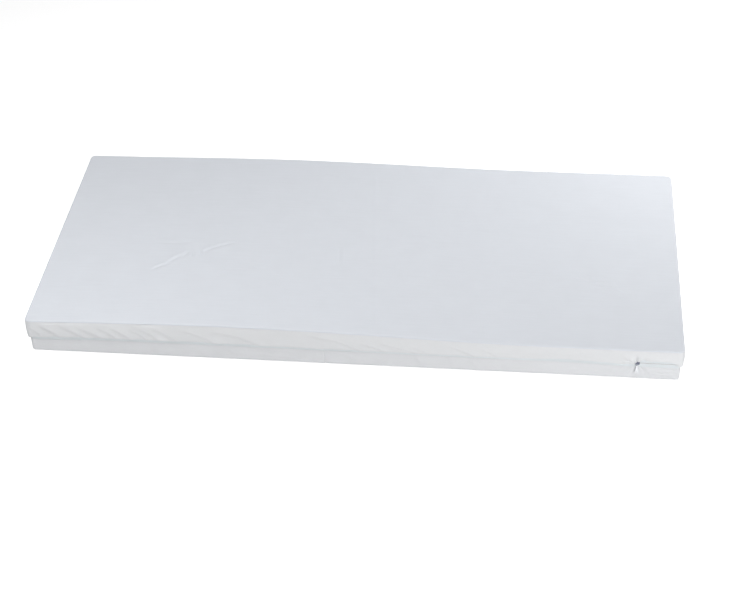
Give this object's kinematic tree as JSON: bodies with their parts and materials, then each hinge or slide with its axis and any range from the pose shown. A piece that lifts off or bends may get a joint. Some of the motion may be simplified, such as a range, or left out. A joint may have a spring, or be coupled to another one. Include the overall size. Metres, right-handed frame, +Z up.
{
  "type": "pressure relief mattress",
  "caption": "Flat hospital foam mattress in a white wipe-clean cover whose upper half unzips along the front and ends and folds back over its rear seam.",
  "frame": {"origin": "centre of the mattress on its underside", "axes": "+X along the mattress towards the end where the zip slider is parked, +Y towards the back seam, +Z up"},
  "size_m": [1.98, 0.9, 0.125],
  "materials": {
    "cover_top_fabric": "satin",
    "cover_border_fabric": "satin",
    "cover_base_fabric": "matte",
    "zip_tape": "matte",
    "zip_coil": "satin",
    "zip_metal": "satin",
    "base_foam": "matte",
    "bolster_foam": "matte",
    "castellated_foam": "matte",
    "memory_foam": "matte"
  },
  "bodies": {
    "mattress_base": {"bottom_panel": "cover_base_fabric", "lower_border_front_left": "cover_base_fabric", "lower_border_front_right": "cover_base_fabric", "lower_border_left": "cover_base_fabric", "lower_border_right": "cover_base_fabric", "lower_border_back": "cover_base_fabric", "back_seam_tape": "cover_base_fabric", "zip_tape_lower": "zip_tape", "zip_coil_lower": "zip_coil", "zip_end_stops": "zip_metal", "support_base_foam": "base_foam", "side_bolster_front": "bolster_foam", "side_bolster_back": "bolster_foam", "torso_zone_foam": "castellated_foam", "heel_zone_foam": "castellated_foam", "memory_foam_layer": "memory_foam"},
    "cover_top": {"top_panel": "cover_top_fabric", "upper_border_front": "cover_border_fabric", "upper_border_left": "cover_border_fabric", "upper_border_right": "cover_border_fabric", "upper_border_back": "cover_border_fabric", "upper_hem_fold": "cover_border_fabric", "zip_tape_upper": "zip_tape", "zip_coil_upper": "zip_coil"},
    "slider": {"zip_slider": "zip_metal"},
    "pull": {"zip_pull": "zip_metal"}
  },
  "joints": [
    {"name": "cover_opening", "type": "hinge", "parent": "mattress_base", "child": "cover_top", "pos_m": [0, 0.45, 0.0625], "axis": [-1, 0, 0], "range_deg": [0, 179]},
    {"name": "zip_slide", "type": "slide", "parent": "mattress_base", "child": "slider", "axis": [1, 0, 0], "range_m": [-1.79, 0.07]},
    {"name": "pull_swing", "type": "hinge", "parent": "slider", "child": "pull", "pos_m": [0.855, -0.4472, 0.055], "axis": [-1, 0, 0], "range_deg": [-5, 110]}
  ]
}
